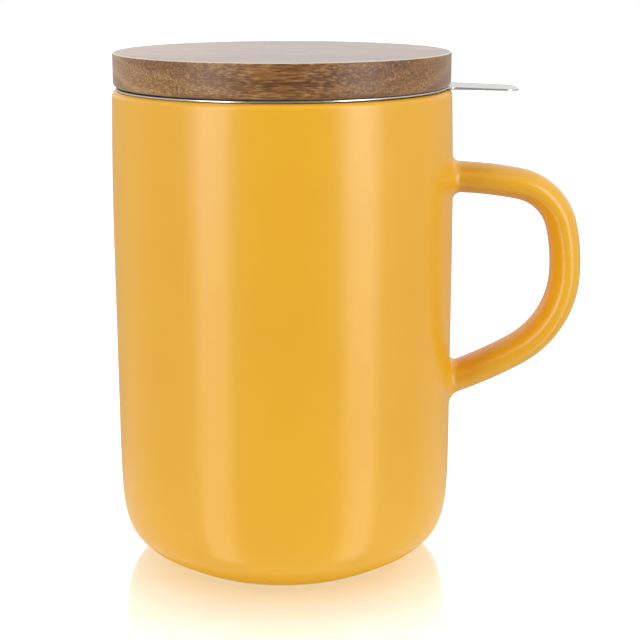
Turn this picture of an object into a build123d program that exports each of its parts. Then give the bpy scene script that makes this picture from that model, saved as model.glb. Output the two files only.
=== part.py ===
"""A stoneware tea mug with a steel infuser basket and a wooden lid, in millimetres.

The origin is on the mug's axis, at the plane that the foot ring stands on. +Z is up, and the
handle and the infuser's tab both point along +X.
"""

import os
from math import cos, floor, pi, radians, sin

from build123d import *

# ---------------------------------------------------------------- driving dimensions

# mug body
MUG_HEIGHT = 120.5  # foot to lip
MUG_RADIUS = 43.0  # outside, at the straight part
MUG_WALL = 4.3
RIM_NARROWING = 0.7  # the outside radius is this much less at the lip
NARROWING_START = 80.4  # height at which the wall begins to lean in
LIP_ROUND = 1.4
LOWER_CURVE_HEIGHT = 34.0  # height at which the curve down to the foot begins
LOWER_CURVE_PULL = 29.1  # how strongly the curve follows the straight wall
FOOT_RADIUS = 30.5  # outer edge of the foot ring
FOOT_WIDTH = 4.0
FOOT_RECESS = 1.6  # how far the base inside the ring is raised
FOOT_ROUND = 0.4
FOOT_SLOPE = 30.0  # degrees between the table and the wall where it leaves the foot
FOOT_CURVE_PULL = 13.6
FLOOR_THICKNESS = 6.4
CAVITY_CORNER_PULL = 20.5  # how strongly the inside corner follows the wall
CAVITY_FLOOR_PULL = 13.0  # and how strongly it follows the floor
CAVITY_FLOOR_RADIUS = 24.0  # flat part of the floor inside

# handle: a strap bent in the XZ plane, from the upper root to the lower one
HANDLE_DROP = 22.3  # from the lip down to the middle of the upper root
HANDLE_THICKNESS = 7.8
HANDLE_DEPTH = 13.0
HANDLE_ROOT_SINK = 2.5  # how deep the strap starts in the body's outline, before it is trimmed
HANDLE_ROOT_FILLET = 1.8
HANDLE_BENDS = [  # radius and turn of each arc, in order
    (102.5, 10.8),  # upper arm
    (14.3, 65.6),  # upper corner
    (46.6, 16.0),  # grip
    (24.1, 58.7),  # lower corner
    (112.0, 10.8),  # lower arm, until it is as deep in the body as the upper arm's start
]

# infuser
RIM_SHEET = 0.8  # sheet thickness of the flange, tab and collar
BASKET_SHEET = 0.4  # sheet thickness of the sleeve and base
INFUSER_CLEARANCE = 0.8  # between the collar and the mug's mouth
FLANGE_INSET = 0.8  # the flange is this much smaller than the mug's lip
FLANGE_EDGE_ROUND = 0.3
COLLAR_BEND = 1.4  # outside radius of the bend from flange to collar
TAB_LENGTH = 17.2
TAB_WIDTH = 14.5
TAB_TIP_ROUND = 4.0
TAB_ROOT_ROUND = 2.5
SLEEVE_LAP = 5.0  # how far the sleeve reaches up inside the collar
WELD_GAP = 0.05  # between lapped sheets
SEAM_WIDTH = 5.0  # lapped strip where the rolled sleeve closes on itself
SEAM_ANGLE = 180.0  # degrees from the tab
INFUSER_FLOOR_GAP = 24.0  # from the mug's floor up to the basket
BASE_LIP = 5.0  # height of the base's turned-up edge
BASE_BEND = 1.2
HOLE_DIAMETER = 1.8
HOLE_PITCH = 5.2  # between holes in a row
ROW_PITCH = 4.5  # between rows, up the sleeve and out over the base
PLAIN_BAND_TOP = 20.0  # unperforated sheet below the collar
PLAIN_BAND_BOTTOM = 3.0  # unperforated sheet above the base's turned-up edge

# lid
LID_THICKNESS = 8.3
LID_INSET = 0.3  # the disc is this much smaller than the mug's lip
LID_TOP_BEVEL = 0.4
LID_BOTTOM_ROUND = 1.2
PLUG_THICKNESS = 6.0
PLUG_INSET = 2.4  # from the collar's bore to the plug
PLUG_ROUND = 0.8
PLUG_TO_SLEEVE = 1.8  # from the plug down to the sleeve
SEAL_GROOVE_DEPTH = 1.6
SEAL_HEIGHT = 3.2
SEAL_FIN = 0.7
SEAL_FIN_ROUND = 0.3
SEAL_CLEARANCE = 0.3  # from the seal's fins to the collar's bore
SEAL_FIT = 0.05  # between the seal and the plug's groove

# ---------------------------------------------------------------- places that follow from them

rim_radius = MUG_RADIUS - RIM_NARROWING
mouth_radius = rim_radius - MUG_WALL
floor_top = FOOT_RECESS + FLOOR_THICKNESS

flange_top = MUG_HEIGHT + RIM_SHEET
flange_radius = rim_radius - FLANGE_INSET
collar_outer = mouth_radius - INFUSER_CLEARANCE
collar_bore = collar_outer - RIM_SHEET
sleeve_top = flange_top - PLUG_THICKNESS - PLUG_TO_SLEEVE
collar_bottom = sleeve_top - SLEEVE_LAP
sleeve_outer = collar_bore - WELD_GAP
sleeve_bore = sleeve_outer - BASKET_SHEET
basket_bottom = floor_top + INFUSER_FLOOR_GAP
base_outer = sleeve_bore - WELD_GAP

lid_radius = rim_radius - LID_INSET
plug_radius = collar_bore - PLUG_INSET
groove_radius = plug_radius - SEAL_GROOVE_DEPTH
seal_middle = flange_top - PLUG_THICKNESS / 2


# ---------------------------------------------------------------- mug


def wall_curve(inset, corner_pull, low_end):
    """The line from the lip down to low_end, inset from the outside of the mug."""
    lip = Bezier(
        (rim_radius - inset, MUG_HEIGHT),
        (MUG_RADIUS - inset, (MUG_HEIGHT + NARROWING_START) / 2),
        (MUG_RADIUS - inset, NARROWING_START),
    )
    straight = Line(lip @ 1, (MUG_RADIUS - inset, LOWER_CURVE_HEIGHT))
    end, end_pull = low_end
    corner = (MUG_RADIUS - inset, LOWER_CURVE_HEIGHT - corner_pull)
    Bezier(straight @ 1, corner, end_pull, end)


foot_edge = (FOOT_RADIUS, 0)
foot_pull = (
    FOOT_RADIUS + FOOT_CURVE_PULL * cos(radians(FOOT_SLOPE)),
    FOOT_CURVE_PULL * sin(radians(FOOT_SLOPE)),
)
cavity_edge = (CAVITY_FLOOR_RADIUS, floor_top)
cavity_pull = (CAVITY_FLOOR_RADIUS + CAVITY_FLOOR_PULL, floor_top)

# the mug's whole outline, not yet hollowed
with BuildPart() as mug_form:
    with BuildSketch(Plane.YZ):
        with BuildLine():
            wall_curve(0, LOWER_CURVE_PULL, (foot_edge, foot_pull))
            Polyline(
                foot_edge,
                (FOOT_RADIUS - FOOT_WIDTH, 0),
                (FOOT_RADIUS - FOOT_WIDTH, FOOT_RECESS),
                (0, FOOT_RECESS),
                (0, MUG_HEIGHT),
                (rim_radius, MUG_HEIGHT),
            )
        make_face()
    revolve(axis=Axis.Z)
    foot_edges = mug_form.edges().filter_by(GeomType.CIRCLE).group_by(Axis.Z)[0]
    fillet(foot_edges, FOOT_ROUND)

with BuildPart() as mug_body:
    add(mug_form.part)
    with BuildSketch(Plane.YZ):
        with BuildLine():
            wall_curve(MUG_WALL, CAVITY_CORNER_PULL, (cavity_edge, cavity_pull))
            Polyline(cavity_edge, (0, floor_top), (0, MUG_HEIGHT), (mouth_radius, MUG_HEIGHT))
        make_face()
    revolve(axis=Axis.Z, mode=Mode.SUBTRACT)
    lip_edges = mug_body.edges().filter_by(GeomType.CIRCLE).group_by(Axis.Z)[-1]
    fillet(lip_edges, LIP_ROUND)

# the strap alone, its ends running into the body's outline
with BuildPart() as handle_strap:
    root_x = MUG_RADIUS - HANDLE_ROOT_SINK
    upper_root = MUG_HEIGHT - HANDLE_DROP
    with BuildLine(Plane.XZ) as strap_path:
        strap_end, strap_direction = (root_x, upper_root), (1, 0)
        for bend_radius, turn in HANDLE_BENDS:
            bend = JernArc(strap_end, strap_direction, bend_radius, -turn)
            strap_end, strap_direction = bend @ 1, bend % 1
    with BuildSketch(Plane.YZ.offset(root_x)):
        with Locations((0, upper_root)):
            Ellipse(HANDLE_DEPTH / 2, HANDLE_THICKNESS / 2)
    sweep(path=strap_path.wire())

# the strap is blended to the body's outline, then trimmed along it
with BuildPart() as mug_handle:
    add(mug_form.part)
    add(handle_strap.part)
    root_edges = new_edges(mug_form.part, handle_strap.part, combined=mug_handle.part)
    fillet(root_edges, HANDLE_ROOT_FILLET)
    add(mug_form.part, mode=Mode.SUBTRACT)

# ---------------------------------------------------------------- infuser


def same(a, b):
    """Whether two lengths are equal within a hundredth of a millimetre."""
    return abs(a - b) < 0.01


def at(edge, radius, height):
    """Whether an edge is the circle of this radius about the axis at this height."""
    if edge.geom_type != GeomType.CIRCLE:
        return False
    return same(edge.radius, radius) and same(edge.center().Z, height)


def on_flange_rim(edge):
    """Whether an edge runs level along the outside of the flange or the tab."""
    middle = edge @ 0.5
    from_axis = Vector(middle.X, middle.Y).length
    outside = from_axis > flange_radius or same(from_axis, flange_radius)
    return outside and same((edge % 0.5).Z, 0)


# flange, tab and collar are one pressing
with BuildPart() as infuser_rim:
    with BuildSketch(Plane.XY.offset(MUG_HEIGHT)) as flange_outline:
        Circle(flange_radius)
        tab_tip = flange_radius + TAB_LENGTH
        with Locations((tab_tip / 2, 0)):
            Rectangle(tab_tip, TAB_WIDTH)
        tab_corners = flange_outline.vertices().group_by(Axis.X)[-1]
        fillet(tab_corners, TAB_TIP_ROUND)
        tab_roots = flange_outline.vertices().filter_by(
            lambda v: same(Vector(v.X, v.Y).length, flange_radius) and v.X > 0
        )
        fillet(tab_roots, TAB_ROOT_ROUND)
        Circle(collar_bore, mode=Mode.SUBTRACT)
    extrude(amount=RIM_SHEET)
    with BuildSketch(Plane.XY.offset(collar_bottom)):
        Circle(collar_outer)
        Circle(collar_bore, mode=Mode.SUBTRACT)
    extrude(amount=flange_top - collar_bottom)
    under_bend = infuser_rim.edges().filter_by(lambda e: at(e, collar_outer, MUG_HEIGHT))
    fillet(under_bend, COLLAR_BEND - RIM_SHEET)
    over_bend = infuser_rim.edges().filter_by(lambda e: at(e, collar_bore, flange_top))
    fillet(over_bend, COLLAR_BEND)
    fillet(infuser_rim.edges().filter_by(on_flange_rim), FLANGE_EDGE_ROUND)

# rows of holes up the sleeve, every other row shifted by half a pitch
holes_in_row = floor(2 * pi * sleeve_outer / HOLE_PITCH)
hole_step = 360 / holes_in_row
rows_bottom = basket_bottom + BASE_LIP + PLAIN_BAND_BOTTOM
rows_top = collar_bottom - PLAIN_BAND_TOP
row_count = floor((rows_top - rows_bottom) / ROW_PITCH) + 1
seam_half_angle = SEAM_WIDTH / 2 / sleeve_outer * 180 / pi
seam_keep_out = seam_half_angle + HOLE_DIAMETER / sleeve_outer * 180 / pi


def off_seam(angle):
    """Whether a hole at this angle lies clear of the lapped seam."""
    from_seam = (angle - SEAM_ANGLE + 180) % 360 - 180
    return abs(from_seam) > seam_keep_out


with BuildPart() as infuser_sleeve:
    with BuildSketch(Plane.XY.offset(basket_bottom)):
        Circle(sleeve_outer)
        Circle(sleeve_bore, mode=Mode.SUBTRACT)
    extrude(amount=sleeve_top - basket_bottom)
    # each punch starts one sheet inside the bore and ends one sheet outside
    outward = Location((sleeve_bore - BASKET_SHEET, 0, 0), (0, 90, 0))
    punch_length = 3 * BASKET_SHEET
    sleeve_holes = []
    for row in range(row_count):
        for step in range(holes_in_row):
            angle = hole_step * (step + 0.5 * (row % 2))
            if off_seam(angle):
                turned = Location((0, 0, rows_bottom + ROW_PITCH * row), (0, 0, angle))
                sleeve_holes.append(turned * outward)
    with Locations(*sleeve_holes):
        Cylinder(
            HOLE_DIAMETER / 2,
            punch_length,
            align=(Align.CENTER, Align.CENTER, Align.MIN),
            mode=Mode.SUBTRACT,
        )
    # where the rolled sheet laps over itself, welded through to the sheet's middle
    with BuildSketch(Plane.XY.offset(basket_bottom).rotated((0, 0, SEAM_ANGLE))):
        Circle(sleeve_outer + BASKET_SHEET)
        Circle(sleeve_outer - BASKET_SHEET / 2, mode=Mode.SUBTRACT)
        with Locations((sleeve_outer, 0)):
            Rectangle(SEAM_WIDTH, SEAM_WIDTH, mode=Mode.INTERSECT)
    extrude(amount=collar_bottom - WELD_GAP - basket_bottom)

with BuildPart() as infuser_base:
    with BuildSketch(Plane.XY.offset(basket_bottom)):
        Circle(base_outer)
    extrude(amount=BASE_LIP)
    fillet(infuser_base.faces().sort_by(Axis.Z)[0].edges(), BASE_BEND)
    offset(amount=-BASKET_SHEET, openings=infuser_base.faces().sort_by(Axis.Z)[-1])
    hole_rings = floor((base_outer - BASE_BEND - 2 * HOLE_DIAMETER) / ROW_PITCH)
    with BuildSketch(Plane.XY.offset(basket_bottom)):
        Circle(HOLE_DIAMETER / 2)
        for ring in range(1, hole_rings + 1):
            ring_radius = ROW_PITCH * ring
            with PolarLocations(ring_radius, floor(2 * pi * ring_radius / HOLE_PITCH)):
                Circle(HOLE_DIAMETER / 2)
    extrude(amount=BASKET_SHEET, mode=Mode.SUBTRACT)

# ---------------------------------------------------------------- lid

with BuildPart() as lid_disc:
    with BuildSketch(Plane.XY.offset(flange_top)):
        Circle(lid_radius)
    extrude(amount=LID_THICKNESS)
    chamfer(lid_disc.edges().group_by(Axis.Z)[-1], LID_TOP_BEVEL)
    fillet(lid_disc.edges().group_by(Axis.Z)[0], LID_BOTTOM_ROUND)

with BuildPart() as lid_plug:
    with BuildSketch(Plane.XY.offset(flange_top - PLUG_THICKNESS)):
        Circle(plug_radius)
    extrude(amount=PLUG_THICKNESS)
    fillet(lid_plug.edges().group_by(Axis.Z)[0], PLUG_ROUND)
    with BuildSketch(Plane.XY.offset(seal_middle - SEAL_HEIGHT / 2)):
        Circle(plug_radius + SEAL_FIN)
        Circle(groove_radius, mode=Mode.SUBTRACT)
    extrude(amount=SEAL_HEIGHT, mode=Mode.SUBTRACT)

# a ring in the plug's groove, with a fin at its top and another at its bottom
with BuildPart() as lid_seal:
    with BuildSketch(Plane.XZ) as seal_section:
        seal_inner = groove_radius + SEAL_FIT
        seal_body = SEAL_GROOVE_DEPTH + SEAL_FIT
        body_height = SEAL_HEIGHT - 2 * SEAL_FIT
        seal_reach = collar_bore - SEAL_CLEARANCE - seal_inner
        with Locations((seal_inner + seal_body / 2, seal_middle)):
            Rectangle(seal_body, body_height)
        fin_height = body_height / 2 - SEAL_FIN / 2
        with Locations(
            (seal_inner + seal_reach / 2, seal_middle + fin_height),
            (seal_inner + seal_reach / 2, seal_middle - fin_height),
        ):
            Rectangle(seal_reach, SEAL_FIN)
        fillet(seal_section.vertices().group_by(Axis.X)[-1], SEAL_FIN_ROUND)
    revolve(axis=Axis.Z)

# ---------------------------------------------------------------- output

pieces = {
    "mug_body": mug_body,
    "mug_handle": mug_handle,
    "infuser_rim": infuser_rim,
    "infuser_sleeve": infuser_sleeve,
    "infuser_base": infuser_base,
    "lid_disc": lid_disc,
    "lid_plug": lid_plug,
    "lid_seal": lid_seal,
}

os.makedirs("parts", exist_ok=True)
for name, piece in pieces.items():
    piece.part.label = name
    export_step(piece.part, f"parts/{name}.step")
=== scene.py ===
import math

import bpy
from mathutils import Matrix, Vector


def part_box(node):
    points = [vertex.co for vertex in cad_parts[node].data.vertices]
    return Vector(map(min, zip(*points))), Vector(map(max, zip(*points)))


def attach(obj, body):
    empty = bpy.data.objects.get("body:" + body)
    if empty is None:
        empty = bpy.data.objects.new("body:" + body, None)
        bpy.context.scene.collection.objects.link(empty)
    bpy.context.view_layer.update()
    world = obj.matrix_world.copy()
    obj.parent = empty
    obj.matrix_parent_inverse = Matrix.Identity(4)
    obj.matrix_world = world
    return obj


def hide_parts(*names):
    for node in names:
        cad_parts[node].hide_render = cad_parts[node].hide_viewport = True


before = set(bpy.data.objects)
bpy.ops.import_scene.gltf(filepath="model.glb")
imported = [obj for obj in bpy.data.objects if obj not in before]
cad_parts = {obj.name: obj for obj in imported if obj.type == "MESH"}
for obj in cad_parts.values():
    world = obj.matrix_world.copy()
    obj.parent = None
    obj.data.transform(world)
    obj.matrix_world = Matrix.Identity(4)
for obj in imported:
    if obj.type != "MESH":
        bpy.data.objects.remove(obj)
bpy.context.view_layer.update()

MM = 0.001

# ---------------------------------------------------------------- sizes, in millimetres


def span(node):
    """The lowest and highest corner of a CAD node, in millimetres."""
    low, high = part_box(node)
    return low / MM, high / MM


mug_high = span("mug_body")[1]
flange_low, flange_high = span("infuser_rim")
lid_low, lid_high = span("lid_disc")
plug_low, plug_high = span("lid_plug")
seal_low, seal_high = span("lid_seal")

MUG_RADIUS = mug_high.x
MUG_HEIGHT = mug_high.z
LID_RADIUS = lid_high.x
PLUG_RADIUS = plug_high.x

# the turned outline of the mug
RIM_NARROWING = 0.7
MUG_WALL = 4.3
NARROWING_START = 80.4
LIP_ROUND = 1.4
LOWER_CURVE_HEIGHT = 34.0
LOWER_CURVE_PULL = 29.1
FOOT_RADIUS = 30.5
FOOT_WIDTH = 4.0
FOOT_RECESS = 1.6
FOOT_ROUND = 0.4
RECESS_ROUND = 0.6  # corner between the foot ring and the base inside it
FOOT_SLOPE = math.radians(30)
FOOT_CURVE_PULL = 13.6
FLOOR_TOP = 8.0
CAVITY_CORNER_PULL = 20.5
CAVITY_FLOOR_PULL = 13.0
CAVITY_FLOOR_RADIUS = 24.0
GLAZE_EDGE = 0.45  # height at which the glaze stops above the foot
GLAZE_THICKNESS = 0.12
LIP_MARGIN = 0.5  # the wall's last point stays this far below the lip's rounding
RIM_RADIUS = MUG_RADIUS - RIM_NARROWING
MOUTH_RADIUS = RIM_RADIUS - MUG_WALL

# how finely round pieces are turned
MUG_AND_LID_SEGMENTS = 192
PLUG_SEGMENTS = 160
ON_AXIS = 1e-6  # a point nearer to the axis than this becomes a pole

# the handle's strap
HANDLE_DROP = 22.3
HANDLE_THICKNESS = 7.8
HANDLE_DEPTH = 13.0
HANDLE_ROOT_SINK = 2.5
HANDLE_ROOT_FILLET = 2.2
HANDLE_BENDS = [  # radius and turn of each arc, in order
    (102.5, 10.8),
    (14.3, 65.6),
    (46.6, 16.0),
    (24.1, 58.7),
    (112.0, 10.8),
]

# the lid
LID_TOP_BEVEL = 0.4
LID_BOTTOM_ROUND = 1.2
PLUG_ROUND = 0.8
SEAL_GROOVE_DEPTH = 1.6
SEAL_FIT = 0.05  # between the seal and the plug's groove
GROOVE_EDGE_ROUND = 0.15

# ---------------------------------------------------------------- camera

CAMERA_SIDE = 9.40
CAMERA_DISTANCE = 381.1
CAMERA_HEIGHT = 154.3
CAMERA_PITCH = math.radians(13.80)
CAMERA_ROLL = math.radians(0.065)
CAMERA_LENS = 85.11
CAMERA_CLIP_START = 0.01  # metres

camera_data = bpy.data.cameras.new("camera")
camera_data.lens = CAMERA_LENS
camera_data.clip_start = CAMERA_CLIP_START
camera = bpy.data.objects.new("camera", camera_data)
camera.location = Vector((CAMERA_SIDE, -CAMERA_DISTANCE, CAMERA_HEIGHT)) * MM
camera.rotation_euler = (math.pi / 2 - CAMERA_PITCH, CAMERA_ROLL, 0)
bpy.context.scene.collection.objects.link(camera)
bpy.context.scene.camera = camera

# ---------------------------------------------------------------- shader helpers


def linear(hex_code):
    """An sRGB hex colour as linear red, green, blue and alpha."""
    channels = [int(hex_code[i : i + 2], 16) / 255 for i in (1, 3, 5)]
    return [c / 12.92 if c <= 0.04045 else ((c + 0.055) / 1.055) ** 2.4 for c in channels] + [1.0]


def add(tree, kind, inputs=None, **settings):
    """Add a node; an input's value is a number, a colour or another node's output."""
    new = tree.nodes.new(kind)
    for name, value in settings.items():
        setattr(new, name, value)
    for name, value in (inputs or {}).items():
        if isinstance(value, bpy.types.NodeSocket):
            tree.links.new(value, new.inputs[name])
        else:
            new.inputs[name].default_value = value
    return new


def colour_stops(ramp, stops):
    """Set the (position, hex colour) stops of a colour ramp and give its colour output."""
    elements = ramp.color_ramp.elements
    while len(elements) < len(stops):
        elements.new(0.5)
    for element, (position, hex_code) in zip(elements, stops):
        element.position = position
        element.color = linear(hex_code)
    return ramp.outputs["Color"]


def start(name):
    """A new material, its tree, its Principled shader and its coordinates in millimetres."""
    material = bpy.data.materials.new(name)
    material.use_nodes = True
    tree = material.node_tree
    shader = tree.nodes["Principled BSDF"]
    place = add(tree, "ShaderNodeTexCoord").outputs["Object"]
    scaled = add(tree, "ShaderNodeVectorMath", {0: place, 1: (1 / MM,) * 3}, operation="MULTIPLY")
    return material, tree, shader, scaled.outputs[0]


# ---------------------------------------------------------------- materials


def satin_glaze():
    """Stoneware under a fired satin-matte yellow glaze: even, a broad sheen, faint orange peel."""
    material, tree, shader, place = start("satin_glaze_on_stoneware")
    pooling_mm, peel_mm, grain_mm = 26, 1.6, 0.35
    peel_height_mm, grain_height_mm = 0.02, 0.006
    shader.inputs["IOR"].default_value = 1.55
    pooling = add(
        tree, "ShaderNodeTexNoise", {"Vector": place, "Scale": 1 / pooling_mm, "Detail": 2.0}
    ).outputs["Fac"]
    ramp = add(tree, "ShaderNodeValToRGB", {"Fac": pooling})
    colour = colour_stops(ramp, [(0.3, "#E8A519"), (0.7, "#EAAA1D")])
    tree.links.new(colour, shader.inputs["Base Color"])
    peel = add(
        tree, "ShaderNodeTexNoise", {"Vector": place, "Scale": 1 / peel_mm, "Detail": 2.0}
    ).outputs["Fac"]
    grain = add(
        tree, "ShaderNodeTexNoise", {"Vector": place, "Scale": 1 / grain_mm, "Detail": 1.0}
    ).outputs["Fac"]
    rough = add(tree, "ShaderNodeMapRange", {"Value": peel, "To Min": 0.28, "To Max": 0.33})
    tree.links.new(rough.outputs[0], shader.inputs["Roughness"])
    waves = add(
        tree, "ShaderNodeBump", {"Height": peel, "Strength": 0.25, "Distance": peel_height_mm * MM}
    ).outputs[0]
    fine = add(
        tree,
        "ShaderNodeBump",
        {"Height": grain, "Strength": 0.3, "Distance": grain_height_mm * MM, "Normal": waves},
    ).outputs[0]
    tree.links.new(fine, shader.inputs["Normal"])
    return material


def bare_clay():
    """Fired stoneware wiped clean of glaze: pale buff, dry and sandy."""
    material, tree, shader, place = start("bare_stoneware")
    sand_mm, sand_height_mm = 0.8, 0.03
    sand = add(
        tree, "ShaderNodeTexNoise", {"Vector": place, "Scale": 1 / sand_mm, "Detail": 3.0}
    ).outputs["Fac"]
    ramp = add(tree, "ShaderNodeValToRGB", {"Fac": sand})
    colour = colour_stops(ramp, [(0.3, "#DDAE70"), (0.7, "#E3B87C")])
    tree.links.new(colour, shader.inputs["Base Color"])
    shader.inputs["Roughness"].default_value = 0.85
    bump = add(
        tree, "ShaderNodeBump", {"Height": sand, "Strength": 0.4, "Distance": sand_height_mm * MM}
    )
    tree.links.new(bump.outputs[0], shader.inputs["Normal"])
    return material


def oiled_acacia(name, pith, along="X"):
    """Acacia turned, sanded and oiled: brown bands, short flecks along the grain, a pale arris
    (wear plus a painted highlight).
    """
    material, tree, shader, place = start(name)
    if along == "Y":
        quarter_turn = {"Vector": place, "Rotation": (0, 0, math.pi / 2)}
        place = add(tree, "ShaderNodeMapping", quarter_turn).outputs[0]
    band_mm, fibre_mm, fleck_mm, pore_height_mm = 3.4, 0.32, 0.42, 0.03
    drift_per_mm = (0.012, 0.035, 0.035)  # how fast the bands wander, along the grain and across it
    drift_mm = 16.0  # and how far
    fibre_stretch, fleck_stretch = (0.07, 1, 1), (0.09, 1, 1)  # drawn out along the grain
    fibre_share = 0.62
    heartwood_x, sapwood_x, sapwood_lift = 5.0, -42.0, 0.09  # the wood pales between these places
    arris_mm = (0.2, 0.03)  # below the lid's top, where the paler arris starts and where it is full
    edge_mm = (0.6, 0.35)  # and the same in from the lid's side

    drift_place = add(
        tree, "ShaderNodeVectorMath", {0: place, 1: drift_per_mm}, operation="MULTIPLY"
    ).outputs[0]
    drift = add(
        tree, "ShaderNodeTexNoise", {"Vector": drift_place, "Scale": 1.0, "Detail": 2.0}
    ).outputs["Fac"]
    across = add(
        tree, "ShaderNodeVectorMath", {0: place, 1: (0, 1, 1)}, operation="MULTIPLY"
    ).outputs[0]
    from_pith = add(
        tree, "ShaderNodeVectorMath", {0: across, 1: pith}, operation="DISTANCE"
    ).outputs["Value"]
    drifted = add(
        tree, "ShaderNodeMath", {0: drift, 1: drift_mm, 2: from_pith}, operation="MULTIPLY_ADD"
    ).outputs[0]
    bands = add(
        tree,
        "ShaderNodeTexNoise",
        {"W": drifted, "Scale": 1 / band_mm, "Detail": 3.0, "Roughness": 0.6},
        noise_dimensions="1D",
    ).outputs["Fac"]
    fibre_place = add(
        tree, "ShaderNodeVectorMath", {0: place, 1: fibre_stretch}, operation="MULTIPLY"
    ).outputs[0]
    fibres = add(
        tree, "ShaderNodeTexNoise", {"Vector": fibre_place, "Scale": 1 / fibre_mm, "Detail": 3.0}
    ).outputs["Fac"]
    fleck_place = add(
        tree, "ShaderNodeVectorMath", {0: place, 1: fleck_stretch}, operation="MULTIPLY"
    ).outputs[0]
    flecks = add(
        tree, "ShaderNodeTexNoise", {"Vector": fleck_place, "Scale": 1 / fleck_mm, "Detail": 2.0}
    ).outputs["Fac"]

    blend = add(
        tree, "ShaderNodeMix", {"Factor": fibre_share, "A": bands, "B": fibres}, data_type="FLOAT"
    ).outputs["Result"]
    axes = add(tree, "ShaderNodeSeparateXYZ", {"Vector": place})
    sapwood = add(
        tree,
        "ShaderNodeMapRange",
        {
            "Value": axes.outputs["X"],
            "From Min": heartwood_x,
            "From Max": sapwood_x,
            "To Max": sapwood_lift,
        },
    ).outputs[0]
    paler = add(tree, "ShaderNodeMath", {0: blend, 1: sapwood}, operation="ADD").outputs[0]
    ramp = add(tree, "ShaderNodeValToRGB", {"Fac": paler})
    colour = colour_stops(
        ramp, [(0.36, "#4C2A08"), (0.46, "#724210"), (0.56, "#8B5920"), (0.68, "#B78B54")]
    )
    pale = add(
        tree,
        "ShaderNodeMapRange",
        {"Value": flecks, "From Min": 0.54, "From Max": 0.72, "To Max": 0.5},
    ).outputs[0]
    dark = add(
        tree,
        "ShaderNodeMapRange",
        {"Value": flecks, "From Min": 0.43, "From Max": 0.30, "To Max": 0.7},
    ).outputs[0]
    flecked = add(
        tree,
        "ShaderNodeMix",
        {"Factor": pale, "A": colour, "B": linear("#B98F5C")},
        data_type="RGBA",
    ).outputs["Result"]
    pored = add(
        tree,
        "ShaderNodeMix",
        {"Factor": dark, "A": flecked, "B": linear("#482808")},
        data_type="RGBA",
    ).outputs["Result"]

    arris = add(
        tree,
        "ShaderNodeMapRange",
        {
            "Value": axes.outputs["Z"],
            "From Min": lid_high.z - arris_mm[0],
            "From Max": lid_high.z - arris_mm[1],
        },
    ).outputs[0]
    level_place = add(
        tree, "ShaderNodeVectorMath", {0: place, 1: (1, 1, 0)}, operation="MULTIPLY"
    ).outputs[0]
    from_axis = add(
        tree, "ShaderNodeVectorMath", {0: level_place}, operation="LENGTH"
    ).outputs["Value"]
    near_edge = add(
        tree,
        "ShaderNodeMapRange",
        {
            "Value": from_axis,
            "From Min": LID_RADIUS - edge_mm[0],
            "From Max": LID_RADIUS - edge_mm[1],
        },
    ).outputs[0]
    # the arris is painted paler: partly sanding wear, partly a painted highlight standing in for
    # the bevel catching the light
    arris_wear_and_highlight = add(tree, "ShaderNodeMath", {0: arris, 1: near_edge}, operation="MULTIPLY").outputs[0]
    edged = add(
        tree,
        "ShaderNodeMix",
        {"Factor": arris_wear_and_highlight, "A": pored, "B": linear("#E6D0AE")},
        data_type="RGBA",
    ).outputs["Result"]
    tree.links.new(edged, shader.inputs["Base Color"])

    rough = add(tree, "ShaderNodeMapRange", {"Value": fibres, "To Min": 0.38, "To Max": 0.50})
    tree.links.new(rough.outputs[0], shader.inputs["Roughness"])
    shader.inputs["Sheen Weight"].default_value = 0.4
    shader.inputs["Sheen Roughness"].default_value = 0.4
    height = add(tree, "ShaderNodeMath", {0: fibres, 1: dark}, operation="SUBTRACT").outputs[0]
    bump = add(
        tree, "ShaderNodeBump", {"Height": height, "Strength": 0.3, "Distance": pore_height_mm * MM}
    )
    tree.links.new(bump.outputs[0], shader.inputs["Normal"])
    return material


def stainless_steel():
    """Stainless sheet, pressed and tumble-polished: bright, faintly rubbed and softly dented."""
    material, tree, shader, place = start("polished_stainless")
    shader.inputs["Metallic"].default_value = 1.0
    shader.inputs["Base Color"].default_value = linear("#C2C2C0")
    rub_mm, ripple_mm, ripple_height_mm = 1.2, 14, 0.3
    rub = add(
        tree, "ShaderNodeTexNoise", {"Vector": place, "Scale": 1 / rub_mm, "Detail": 4.0}
    ).outputs["Fac"]
    rough = add(tree, "ShaderNodeMapRange", {"Value": rub, "To Min": 0.16, "To Max": 0.30})
    tree.links.new(rough.outputs[0], shader.inputs["Roughness"])
    ripple = add(
        tree, "ShaderNodeTexNoise", {"Vector": place, "Scale": 1 / ripple_mm}
    ).outputs["Fac"]
    bump = add(
        tree,
        "ShaderNodeBump",
        {"Height": ripple, "Strength": 0.3, "Distance": ripple_height_mm * MM},
    )
    tree.links.new(bump.outputs[0], shader.inputs["Normal"])
    return material


def silicone():
    """Platinum-cured silicone, moulded: milky and slightly see-through, with a dull skin."""
    material, tree, shader, place = start("milky_silicone")
    shader.inputs["Base Color"].default_value = linear("#E4E2DC")
    shader.inputs["IOR"].default_value = 1.41
    shader.inputs["Subsurface Weight"].default_value = 0.4
    shader.inputs["Subsurface Radius"].default_value = (1.0, 1.0, 1.0)
    shader.inputs["Subsurface Scale"].default_value = 1.5 * MM
    dust_mm = 0.8
    dust = add(
        tree, "ShaderNodeTexNoise", {"Vector": place, "Scale": 1 / dust_mm, "Detail": 2.0}
    ).outputs["Fac"]
    rough = add(tree, "ShaderNodeMapRange", {"Value": dust, "To Min": 0.42, "To Max": 0.55})
    tree.links.new(rough.outputs[0], shader.inputs["Roughness"])
    return material


GLAZE = satin_glaze()
CLAY = bare_clay()
LID_WOOD = oiled_acacia("oiled_acacia_lid", (0, 14, -46))
PLUG_WOOD = oiled_acacia("oiled_acacia_plug", (0, 30, -30), along="Y")
STEEL = stainless_steel()
SILICONE = silicone()

# ---------------------------------------------------------------- mesh helpers


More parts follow.
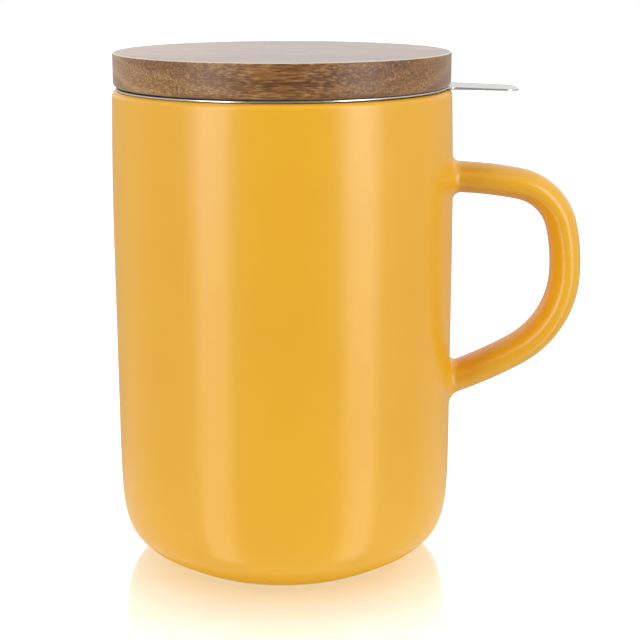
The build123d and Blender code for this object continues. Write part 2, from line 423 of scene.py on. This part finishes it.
def bezier(points, steps):
    """Points along a Bezier curve of any degree, both ends included."""
    curve = []
    for step in range(steps + 1):
        t = step / steps
        level = [Vector(p) for p in points]
        while len(level) > 1:
            level = [a.lerp(b, t) for a, b in zip(level, level[1:])]
        curve.append(level[0])
    return curve


def rounded(before, corner, after, radius, steps=6):
    """The arc of this radius that replaces a corner, with a point just outside each of its ends."""
    to_before = (Vector(before) - Vector(corner)).normalized()
    to_after = (Vector(after) - Vector(corner)).normalized()
    half = to_before.angle(to_after) / 2
    reach = radius / math.tan(half)
    centre = Vector(corner) + (to_before + to_after).normalized() * (radius / math.sin(half))
    first = Vector(corner) + to_before * reach - centre
    last = Vector(corner) + to_after * reach - centre
    arc = []
    for step in range(steps + 1):
        t = step / steps
        arm = first.lerp(last, t).normalized() * radius
        arc.append(centre + arm)
    guard = min(0.3 * radius, 0.2)  # keeps the smooth shading off the flats beside the arc
    return [arc[0] + to_before * guard] + arc + [arc[-1] + to_after * guard]


def outline(corners):
    """A line through (r, z) corners, each rounded by its third number if it has one."""
    points = []
    for index, corner in enumerate(corners):
        radius = corner[2] if len(corner) > 2 else 0
        here = Vector(corner[:2])
        if radius:
            before = Vector(corners[index - 1][:2])
            after = Vector(corners[index + 1][:2])
            points += rounded(before, here, after, radius)
        else:
            points.append(here)
    return points


def new_piece(name, vertices, faces, body, stands_for, materials, face_material=None):
    """A smooth mesh, given in millimetres, that rides on a body and stands for a CAD node."""
    mesh = bpy.data.meshes.new(name)
    mesh.from_pydata([Vector(v) * MM for v in vertices], [], faces)
    for material in materials:
        mesh.materials.append(material)
    for polygon in mesh.polygons:
        polygon.use_smooth = True
        if face_material:
            polygon.material_index = face_material(polygon.center / MM)
    mesh.validate()
    piece = bpy.data.objects.new(name, mesh)
    bpy.context.scene.collection.objects.link(piece)
    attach(piece, body)
    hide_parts(stands_for)
    return piece


def turned(points, segments):
    """Vertices and faces of an outline turned about the axis; a point on the axis is a pole."""
    vertices, rows = [], []
    for r, z in points:
        if r < ON_AXIS:
            rows.append([len(vertices)] * segments)
            vertices.append((0, 0, z))
            continue
        rows.append(range(len(vertices), len(vertices) + segments))
        for step in range(segments):
            angle = 2 * math.pi * step / segments
            vertices.append((r * math.cos(angle), r * math.sin(angle), z))
    faces = []
    closed = points[0][0] > ON_AXIS
    for low, high in zip(rows, rows[1:] + rows[:1] if closed else rows[1:]):
        for step in range(segments):
            after = (step + 1) % segments
            corners = [low[step], low[after], high[after], high[step]]
            faces.append(tuple(dict.fromkeys(corners)))
    return vertices, faces


# ---------------------------------------------------------------- mug body


def wall_line(inset, corner_pull, low_pull, low_end, steps):
    """The mug's wall from its lower end up to just under the lip, inset from the outside."""
    side = MUG_RADIUS - inset
    straight_steps, upper_steps = 6, 12
    lower_points = [
        low_end,
        low_pull,
        (side, LOWER_CURVE_HEIGHT - corner_pull),
        (side, LOWER_CURVE_HEIGHT),
    ]
    rise = NARROWING_START - LOWER_CURVE_HEIGHT
    straight = [
        Vector((side, LOWER_CURVE_HEIGHT + rise * t / straight_steps))
        for t in range(1, straight_steps)
    ]
    upper_points = [
        (side, NARROWING_START),
        (side, (NARROWING_START + MUG_HEIGHT) / 2),
        (RIM_RADIUS - inset, MUG_HEIGHT),
    ]
    return bezier(lower_points, steps) + straight + bezier(upper_points, upper_steps)[:-1]


def mug_outline():
    """Half of the mug's section, from under its middle, round foot and lip, to its floor."""
    foot_inner = FOOT_RADIUS - FOOT_WIDTH
    foot_pull = (
        FOOT_RADIUS + FOOT_CURVE_PULL * math.cos(FOOT_SLOPE),
        FOOT_CURVE_PULL * math.sin(FOOT_SLOPE),
    )
    outer = wall_line(0, LOWER_CURVE_PULL, foot_pull, (FOOT_RADIUS, 0), 40)
    above_foot = [p for p in outer if p.y > GLAZE_EDGE + GLAZE_THICKNESS]
    edge_radius = FOOT_RADIUS + GLAZE_EDGE / math.tan(FOOT_SLOPE)
    clay = [
        (0, FOOT_RECESS),
        (foot_inner, FOOT_RECESS, RECESS_ROUND),
        (foot_inner, 0, FOOT_ROUND),
        (FOOT_RADIUS - GLAZE_THICKNESS, 0, FOOT_ROUND),
        (edge_radius - GLAZE_THICKNESS, GLAZE_EDGE),
    ]
    # the glaze ends in a rolled edge that stands out from the clay by most of its thickness
    glaze_lip = [
        Vector((edge_radius - GLAZE_THICKNESS * 0.2, GLAZE_EDGE + GLAZE_THICKNESS * 0.15)),
        Vector((edge_radius + GLAZE_THICKNESS * 0.7, GLAZE_EDGE + GLAZE_THICKNESS * 0.8)),
    ]
    lip = outline(
        [
            tuple(outer[-1]),
            (RIM_RADIUS, MUG_HEIGHT, LIP_ROUND),
            (MOUTH_RADIUS, MUG_HEIGHT, LIP_ROUND),
            (MOUTH_RADIUS, MUG_HEIGHT / 2),
        ]
    )[1:-1]
    cavity_end = (CAVITY_FLOOR_RADIUS, FLOOR_TOP)
    cavity_pull = (CAVITY_FLOOR_RADIUS + CAVITY_FLOOR_PULL, FLOOR_TOP)
    inner = wall_line(MUG_WALL, CAVITY_CORNER_PULL, cavity_pull, cavity_end, 24)[::-1]
    wall_top = MUG_HEIGHT - LIP_ROUND - LIP_MARGIN
    under_lip = [p for p in inner if p.y < wall_top]
    floor = [Vector((CAVITY_FLOOR_RADIUS * t, FLOOR_TOP)) for t in (0.66, 0.33, 0)]
    outside = [p for p in above_foot if p.y < wall_top]
    return outline(clay) + glaze_lip + outside + lip + under_lip + floor


def glaze_or_clay(middle):
    """The material number of a face of the mug: 1 for bare clay, 0 for glaze."""
    slack = 0.01
    on_foot = middle.z < GLAZE_EDGE + slack
    under_foot = middle.z < FOOT_RECESS + slack and middle.xy.length < FOOT_RADIUS
    return 1 if on_foot or under_foot else 0


mug_mesh = turned(mug_outline(), MUG_AND_LID_SEGMENTS)
mug = new_piece("mug_body_glazed", *mug_mesh, "mug", "mug_body", [GLAZE, CLAY], glaze_or_clay)

# ---------------------------------------------------------------- handle

outer_wall = [p for p in mug_outline() if p.x > FOOT_RADIUS]


def wall_radius(height):
    """The mug's outside radius at a height on its wall."""
    for low, high in zip(outer_wall, outer_wall[1:]):
        if low.y <= height <= high.y and high.y > low.y:
            return low.x + (high.x - low.x) * (height - low.y) / (high.y - low.y)
    return RIM_RADIUS


def strap_line(step_mm=1.3):
    """Points and headings along the middle of the handle, from its upper root to its lower one."""
    x, z, heading = MUG_RADIUS - HANDLE_ROOT_SINK, MUG_HEIGHT - HANDLE_DROP, 0.0
    line = [(x, z, heading)]
    for radius, turn in HANDLE_BENDS:
        count = max(2, round(math.radians(turn) * radius / step_mm))
        part = math.radians(turn) / count
        for _ in range(count):
            chord = 2 * radius * math.sin(part / 2)
            x += chord * math.cos(heading - part / 2)
            z += chord * math.sin(heading - part / 2)
            heading -= part
            line.append((x, z, heading))
    return line


def strap_ring(x, z, heading, swell=0.0, sides=56):
    """A section of the strap across its line, made larger all round by swell."""
    ring = []
    for side in range(sides):
        angle = 2 * math.pi * side / sides
        across = (HANDLE_DEPTH / 2) * math.cos(angle)
        up = (HANDLE_THICKNESS / 2) * math.sin(angle)
        normal = Vector((math.cos(angle) * HANDLE_THICKNESS, math.sin(angle) * HANDLE_DEPTH))
        normal.normalize()
        across += normal.x * swell
        up += normal.y * swell
        ring.append(Vector((x - math.sin(heading) * up, across, z + math.cos(heading) * up)))
    return ring


def clearance(point):
    """How far a point stands outside the mug's wall."""
    return point.xy.length - wall_radius(point.z)


def root_rings(place, into_wall, flare):
    """Rings that spread from the strap onto the wall, along the strap's direction at its root."""
    x, z, heading = place
    toward = Vector((math.cos(heading), 0, math.sin(heading))) * into_wall
    reach_mm, halvings = 12.0, 30  # the wall is found by halving a reach to both sides
    rings = []
    for swell, stand_off in flare:
        ring = []
        for point in strap_ring(x, z, heading, swell):
            low, high = -reach_mm, reach_mm
            for _ in range(halvings):
                middle = (low + high) / 2
                if clearance(point + toward * middle) > stand_off:
                    low = middle
                else:
                    high = middle
            ring.append(point + toward * low)
        rings.append(ring)
    return rings


def handle_mesh():
    """Vertices and faces of the handle, closed inside the wall, and where its root rings start."""
    fillet, sunk, margin, steps = HANDLE_ROOT_FILLET, 0.4, 0.5, 8
    flare = [(fillet, -sunk)]
    for step in range(steps + 1):
        angle = math.pi / 2 * (1 - step / steps)
        flare.append((fillet * (1 - math.cos(angle)), fillet * (1 - math.sin(angle))))
    line = strap_line()
    strap = []
    for place in line:
        ring = strap_ring(*place)
        if min(clearance(p) for p in ring) > fillet + margin:
            strap.append(ring)
    outside = [place for place in line if place[0] > MUG_RADIUS]
    upper = root_rings(outside[0], -1, flare)
    lower = root_rings(outside[-1], 1, flare)
    rings = upper + strap + lower[::-1]
    sides = len(strap[0])
    vertices = [p for ring in rings for p in ring]
    faces = [tuple(range(sides))[::-1]]
    for index in range(len(rings) - 1):
        for side in range(sides):
            after = (side + 1) % sides
            low, high = index * sides, (index + 1) * sides
            faces.append((low + side, low + after, high + after, high + side))
    last = (len(rings) - 1) * sides
    faces.append(tuple(range(last, last + sides)))
    return vertices, faces, (sides, last - sides)


handle_vertices, handle_faces, root_starts = handle_mesh()
handle = new_piece(
    "mug_handle_glazed", handle_vertices, handle_faces, "mug", "mug_handle", [GLAZE]
)
# the two rings where the strap meets the wall stay sharp
strap_sides = root_starts[0]
for edge in handle.data.edges:
    for start_at in root_starts:
        if all(start_at <= v < start_at + strap_sides for v in edge.vertices):
            edge.use_edge_sharp = True

# ---------------------------------------------------------------- lid

lid_points = outline(
    [
        (0, lid_low.z),
        (LID_RADIUS, lid_low.z, LID_BOTTOM_ROUND),
        (LID_RADIUS, lid_high.z, LID_TOP_BEVEL),
        (0, lid_high.z),
    ]
)
lid_mesh = turned(lid_points, MUG_AND_LID_SEGMENTS)
lid = new_piece("lid_disc_turned", *lid_mesh, "lid", "lid_disc", [LID_WOOD])

seal_middle = (seal_low.z + seal_high.z) / 2
seal_half = (seal_high.z - seal_low.z) / 2 + SEAL_FIT
GROOVE_RADIUS = PLUG_RADIUS - SEAL_GROOVE_DEPTH
plug_points = outline(
    [
        (0, plug_low.z),
        (PLUG_RADIUS, plug_low.z, PLUG_ROUND),
        (PLUG_RADIUS, seal_middle - seal_half, GROOVE_EDGE_ROUND),
        (GROOVE_RADIUS, seal_middle - seal_half),
        (GROOVE_RADIUS, seal_middle + seal_half),
        (PLUG_RADIUS, seal_middle + seal_half, GROOVE_EDGE_ROUND),
        (PLUG_RADIUS, plug_high.z),
        (0, plug_high.z),
    ]
)
plug_mesh = turned(plug_points, PLUG_SEGMENTS)
plug = new_piece("lid_plug_turned", *plug_mesh, "lid", "lid_plug", [PLUG_WOOD])

# ---------------------------------------------------------------- infuser

FLANGE_INSET = 0.8  # the flange is this much smaller than the mug's lip
FLANGE_RADIUS = RIM_RADIUS - FLANGE_INSET
RIM_SHEET = 0.8
EDGE_SHEET = 0.5  # the flange's edge and the tab are pressed thinner than the rest
TAB_WIDTH = 14.5
TAB_TIP_ROUND = 4.0
TAB_ROOT_ROUND = 2.5
TAB_DROOP = 0.04  # how far the tab bends down for each millimetre it stands out
COLLAR_BORE = 36.4
COLLAR_BEND = 1.4


def arc(centre, radius, start_at, end_at, steps):
    """Points of an arc, between two angles in degrees, each with the direction from the centre."""
    points = []
    for step in range(steps + 1):
        angle = math.radians(start_at + (end_at - start_at) * step / steps)
        outward = Vector((math.cos(angle), math.sin(angle)))
        points.append((Vector(centre) + outward * radius, outward))
    return points


def rim_outline():
    """The flange's edge and the tab, once round from the tab's tip, with outward directions."""
    half_width, tip = TAB_WIDTH / 2, flange_high.x
    corner = (tip - TAB_TIP_ROUND, half_width - TAB_TIP_ROUND)
    root_reach = FLANGE_RADIUS + TAB_ROOT_ROUND
    root_y = half_width + TAB_ROOT_ROUND
    root_x = math.sqrt(root_reach**2 - root_y**2)
    root_angle = math.degrees(math.asin(root_y / root_reach))
    right, up = Vector((1, 0)), Vector((0, 1))
    half = [(Vector((tip, corner[1] * t)), right) for t in (0, 0.5)]
    half += arc(corner, TAB_TIP_ROUND, 0, 90, 10)
    for t in (0.3, 0.6, 0.9):
        half.append((Vector((corner[0] + (root_x - corner[0]) * t, half_width)), up))
    fillet = arc((root_x, root_y), TAB_ROOT_ROUND, -90, root_angle - 180, 8)
    half += [(point, -outward) for point, outward in fillet]
    half += arc((0, 0), FLANGE_RADIUS, root_angle, 180, 90)[1:]
    other = [(Vector((p.x, -p.y)), Vector((n.x, -n.y))) for p, n in half[1:-1]]
    return half + other[::-1]


def rim_mesh():
    """Vertices and faces of the flange, tab and collar, one pressing."""
    around = rim_outline()
    top, bottom, play = flange_high.z, MUG_HEIGHT, RIM_SHEET - EDGE_SHEET
    collar_outer = COLLAR_BORE + RIM_SHEET
    under_bend = COLLAR_BEND - RIM_SHEET
    edge_round, edge_steps = EDGE_SHEET / 2, 8
    guard = 0.12  # keeps the smooth shading off the flats beside the bends

    def turned_ring(radius, z):
        """A round ring with a point for each point of the outline."""
        return [(p.normalized() * radius).to_3d() + Vector((0, 0, z)) for p, _ in around]

    def edge_ring(inset, share):
        """A ring inside the outline; share is 1 at the top of the sheet and -1 at its underside."""
        ring = []
        for point, outward in around:
            seat = min((point.x + FLANGE_RADIUS) / (2 * FLANGE_RADIUS), 1.0)
            droop = TAB_DROOP * max(point.x - FLANGE_RADIUS, 0.0)
            middle = bottom + play * seat + EDGE_SHEET / 2 - droop
            place = point - outward * inset
            ring.append(Vector((place.x, place.y, middle + share * EDGE_SHEET / 2)))
        return ring

    rings = [turned_ring(COLLAR_BORE, flange_low.z)]
    for point, _ in arc((COLLAR_BORE + COLLAR_BEND, top - COLLAR_BEND), COLLAR_BEND, 180, 90, 8):
        rings.append(turned_ring(point.x, point.y))
    rings.append(turned_ring(COLLAR_BORE + COLLAR_BEND + guard, top))
    rings.append(edge_ring(edge_round + guard, 1))
    for step in range(edge_steps + 1):
        angle = math.pi / 2 - math.pi * step / edge_steps
        rings.append(edge_ring(edge_round * (1 - math.cos(angle)), math.sin(angle)))
    rings.append(edge_ring(edge_round + guard, -1))
    rings.append(turned_ring(collar_outer + under_bend + guard, bottom))
    for point, _ in arc((collar_outer + under_bend, bottom - under_bend), under_bend, 90, 180, 5):
        rings.append(turned_ring(point.x, point.y))
    rings.append(turned_ring(collar_outer, flange_low.z))

    count = len(around)
    vertices = [p for ring in rings for p in ring]
    faces = []
    for index in range(len(rings)):
        low, high = index * count, (index + 1) % len(rings) * count
        for step in range(count):
            after = (step + 1) % count
            faces.append((low + step, low + after, high + after, high + step))
    return vertices, faces


rim = new_piece("infuser_rim_pressed", *rim_mesh(), "infuser", "infuser_rim", [STEEL])

# these three show the CAD's own meshes
shown_as_built = {"infuser_sleeve": STEEL, "infuser_base": STEEL, "lid_seal": SILICONE}
for name, material in shown_as_built.items():
    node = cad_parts[name]
    node.data.materials.clear()
    node.data.materials.append(material)

# ---------------------------------------------------------------- floor, world and lights

# Each kind of ray meets its own floor and world. The camera sees a white sheet that mirrors the
# foot, gloss sees a studio that is dark in front, and the other rays only light the object.
FLOOR_SIZE = 6.0  # metres
WHITE = linear("#FFFFFF")
# painted reflection: the glaze's yellow is painted into the floor's white round the foot
PAINTED_GLAZE_REFLECTION = (1.0, 1.0, 0.84, 1.0)  # the camera's white takes on the glaze's yellow round the foot
GLOW = (0.84, 1.0, 0.92, 1.0)  # light from the sheet onto the underside; no lamp stands for it
DIFFUSE_SHEET = linear("#A0A0A0")  # what the camera sees the shadow on
BOUNCE_SHEET = linear("#B8B8B8")  # what throws the lamps' light up at the object
FLOOR_FADES = {  # near and far distance from the axis in millimetres, and the value at each
    "plainness": (20, 110, 0.0, 1.0),  # of the camera's white, from PAINTED_GLAZE_REFLECTION to plain
    "white": (130, 450, 0.93, 1.0),  # strength of the camera's white
    "mirror": (20, 92, 0.70, 0.0),  # the mirror's share in what the camera sees
    "gloss_mirror": (120, 450, 0.82, 0.88),  # and in what gloss sees
    "glow": (30, 130, 0.62, 0.0),  # strength of GLOW
}
FILL = 0.89  # the share of the walls' brightness that lights the object
DARK_SIDE = 0.20  # what a gloss reflects of the studio in front of the mug, where the camera stands
FRONT_COSINE = -0.85  # the dark side ends about here, 32 degrees from straight in front
SIDE_COSINE = -0.50  # and the white walls begin here, at 60 degrees
WALL_TONE = 0.95  # how white gloss sees the walls
SHEET_TONE = 0.48  # and the floor's own white under them
BACK_MIRROR = 0.5  # how much of the backdrop the far part of the floor throws onto the mug's edges
BACK_MIRROR_SPAN = (0.15, 0.75)  # the share of +Y over which the mirror dims to that
BACKDROP = 1.05  # how bright gloss sees the backdrop against the side walls
BACKDROP_SPAN = (0.2, 0.7)  # the share of +Y over which the walls become the backdrop
CEILING = 1.0  # the white ceiling that upward-facing gloss and the inside of the basket reflect
CEILING_SPAN = (0.55, 0.85)  # the share of +Z over which the walls become the ceiling


def studio_tone(tree, toward_back, whitest):
    """What glossy surfaces see of the studio: white at the sides and back, dark in front."""
    return add(
        tree,
        "ShaderNodeMapRange",
        {
            "Value": toward_back,
            "From Min": FRONT_COSINE,
            "From Max": SIDE_COSINE,
            "To Min": DARK_SIDE * whitest,
            "To Max": whitest,
        },
        interpolation_type="SMOOTHSTEP",
    ).outputs[0]


def seen_directly(tree, rays):
    """1 for a ray from the camera or through a clear piece and 0 for any other."""
    kinds = {0: rays.outputs["Is Camera Ray"], 1: rays.outputs["Is Transmission Ray"]}
    return add(tree, "ShaderNodeMath", kinds, operation="MAXIMUM").outputs[0]


def heading_back(tree, place):
    """The share of a level direction that points to +Y."""
    level = add(tree, "ShaderNodeVectorMath", {0: place, 1: (1, 1, 0)}, operation="MULTIPLY")
    unit = add(tree, "ShaderNodeVectorMath", {0: level.outputs[0]}, operation="NORMALIZE")
    return add(tree, "ShaderNodeSeparateXYZ", {"Vector": unit.outputs[0]}).outputs["Y"]


def glossy_floor():
    """White acrylic sheet: mirrors what stands on it near its foot and fades to plain white."""
    material = bpy.data.materials.new("white_acrylic")
    material.use_nodes = True
    tree = material.node_tree
    tree.nodes.remove(tree.nodes["Principled BSDF"])
    place = add(tree, "ShaderNodeTexCoord").outputs["Object"]
    away = add(tree, "ShaderNodeVectorMath", {0: place}, operation="LENGTH").outputs["Value"]
    fades = {}
    for what, (near, far, at_near, at_far) in FLOOR_FADES.items():
        fades[what] = add(
            tree,
            "ShaderNodeMapRange",
            {
                "Value": away,
                "From Min": near * MM,
                "From Max": far * MM,
                "To Min": at_near,
                "To Max": at_far,
            },
            interpolation_type="SMOOTHSTEP",
        ).outputs[0]

    # for the camera
    # the camera's white is painted with the glaze's yellow round the foot, a painted reflection
    tint = add(
        tree,
        "ShaderNodeMix",
        {"Factor": fades["plainness"], "A": PAINTED_GLAZE_REFLECTION, "B": WHITE},
        data_type="RGBA",
    ).outputs["Result"]
    diffuse = add(tree, "ShaderNodeBsdfDiffuse", {"Color": DIFFUSE_SHEET}).outputs[0]
    white = add(
        tree, "ShaderNodeEmission", {"Color": tint, "Strength": fades["white"]}
    ).outputs[0]
    plain = add(tree, "ShaderNodeAddShader", {0: diffuse, 1: white}).outputs[0]
    gloss = add(tree, "ShaderNodeBsdfGlossy", {"Color": WHITE, "Roughness": 0.06}).outputs[0]
    shown = add(tree, "ShaderNodeMixShader", {0: fades["mirror"], 1: plain, 2: gloss}).outputs[0]

    # for gloss on the object
    toward_back = heading_back(tree, place)
    tone = studio_tone(tree, toward_back, SHEET_TONE)
    sheet = add(tree, "ShaderNodeEmission", {"Color": WHITE, "Strength": tone}).outputs[0]
    dimmer = add(
        tree,
        "ShaderNodeMapRange",
        {
            "Value": toward_back,
            "From Min": BACK_MIRROR_SPAN[0],
            "From Max": BACK_MIRROR_SPAN[1],
            "To Min": 1.0,
            "To Max": BACK_MIRROR,
        },
        interpolation_type="SMOOTHSTEP",
    ).outputs[0]
    mirror = add(tree, "ShaderNodeBsdfGlossy", {"Color": dimmer, "Roughness": 0.05}).outputs[0]
    reflected = add(
        tree, "ShaderNodeMixShader", {0: fades["gloss_mirror"], 1: sheet, 2: mirror}
    ).outputs[0]

    # for the rays that light the object
    bounce = add(tree, "ShaderNodeBsdfDiffuse", {"Color": BOUNCE_SHEET}).outputs[0]
    glow = add(
        tree, "ShaderNodeEmission", {"Color": GLOW, "Strength": fades["glow"]}
    ).outputs[0]
    lighting = add(tree, "ShaderNodeAddShader", {0: bounce, 1: glow}).outputs[0]

    rays = add(tree, "ShaderNodeLightPath")
    unseen = add(
        tree,
        "ShaderNodeMixShader",
        {0: rays.outputs["Is Glossy Ray"], 1: lighting, 2: reflected},
    ).outputs[0]
    surface = add(
        tree, "ShaderNodeMixShader", {0: seen_directly(tree, rays), 1: unseen, 2: shown}
    ).outputs[0]
    tree.links.new(surface, tree.nodes["Material Output"].inputs["Surface"])
    return material


floor_mesh = bpy.data.meshes.new("floor")
half = FLOOR_SIZE / 2
floor_mesh.from_pydata(
    [(-half, -half, 0), (half, -half, 0), (half, half, 0), (-half, half, 0)], [], [(0, 1, 2, 3)]
)
floor_mesh.materials.append(glossy_floor())
floor_sheet = bpy.data.objects.new("floor", floor_mesh)
bpy.context.scene.collection.objects.link(floor_sheet)

world = bpy.data.worlds.new("studio")
world.use_nodes = True
bpy.context.scene.world = world
sky = world.node_tree
background = sky.nodes["Background"]
rays = add(sky, "ShaderNodeLightPath")
direction = add(sky, "ShaderNodeTexCoord").outputs["Generated"]
toward_back = heading_back(sky, direction)
walls = studio_tone(sky, toward_back, WALL_TONE)
backdrop = add(
    sky,
    "ShaderNodeMapRange",
    {
        "Value": toward_back,
        "From Min": BACKDROP_SPAN[0],
        "From Max": BACKDROP_SPAN[1],
        "To Min": 1.0,
        "To Max": BACKDROP,
    },
    interpolation_type="SMOOTHSTEP",
).outputs[0]
lit_walls = add(sky, "ShaderNodeMath", {0: walls, 1: backdrop}, operation="MULTIPLY").outputs[0]
upward = add(sky, "ShaderNodeSeparateXYZ", {"Vector": direction}).outputs["Z"]
overhead_share = add(
    sky,
    "ShaderNodeMapRange",
    {"Value": upward, "From Min": CEILING_SPAN[0], "From Max": CEILING_SPAN[1]},
    interpolation_type="SMOOTHSTEP",
).outputs[0]
reflected = add(
    sky,
    "ShaderNodeMix",
    {"Factor": overhead_share, "A": lit_walls, "B": CEILING},
    data_type="FLOAT",
).outputs["Result"]
lighting = add(sky, "ShaderNodeMath", {0: walls, 1: FILL}, operation="MULTIPLY").outputs[0]
unseen_strength = add(
    sky,
    "ShaderNodeMix",
    {"Factor": rays.outputs["Is Glossy Ray"], "A": lighting, "B": reflected},
    data_type="FLOAT",
).outputs["Result"]
strength = add(
    sky,
    "ShaderNodeMix",
    {"Factor": seen_directly(sky, rays), "A": unseen_strength, "B": 1.0},
    data_type="FLOAT",
).outputs["Result"]
background.inputs["Color"].default_value = WHITE
sky.links.new(strength, background.inputs["Strength"])


DAYLIGHT = (0.915, 1.0, 1.07)
STRIP_TURNS = {"left": -45.0, "right": 52.3}  # degrees round the mug from straight in front
STRIP_DISTANCE = 0.9  # metres, as are the lamps' other lengths
STRIP_WIDTH = 0.36
STRIP_HEIGHT = 1.0
STRIP_WATTS = 5.6
OVERHEAD_PLACE = (0, -0.1, 1.3)
OVERHEAD_SIZE = 1.2
OVERHEAD_WATTS = 1.5


def softbox(name, place, aim, width, height, watts):
    """A rectangular lamp at a place, facing aim, both in metres."""
    data = bpy.data.lights.new(name, "AREA")
    data.shape = "RECTANGLE"
    data.size = width
    data.size_y = height
    data.energy = watts
    data.color = DAYLIGHT
    lamp = bpy.data.objects.new(name, data)
    lamp.location = place
    lamp.rotation_euler = (Vector(place) - Vector(aim)).to_track_quat("Z", "Y").to_euler()
    bpy.context.scene.collection.objects.link(lamp)
    return lamp


for side_name, degrees in STRIP_TURNS.items():
    turn = math.radians(degrees)
    strip_place = (
        STRIP_DISTANCE * math.sin(turn),
        -STRIP_DISTANCE * math.cos(turn),
        STRIP_HEIGHT / 2,
    )
    strip_aim = (0, 0, STRIP_HEIGHT / 2)
    softbox("strip_" + side_name, strip_place, strip_aim, STRIP_WIDTH, STRIP_HEIGHT, STRIP_WATTS)
lip = (0, 0, MUG_HEIGHT * MM)
overhead = softbox("overhead", OVERHEAD_PLACE, lip, OVERHEAD_SIZE, OVERHEAD_SIZE, OVERHEAD_WATTS)
overhead.visible_glossy = False

bpy.context.scene.view_settings.view_transform = "Standard"
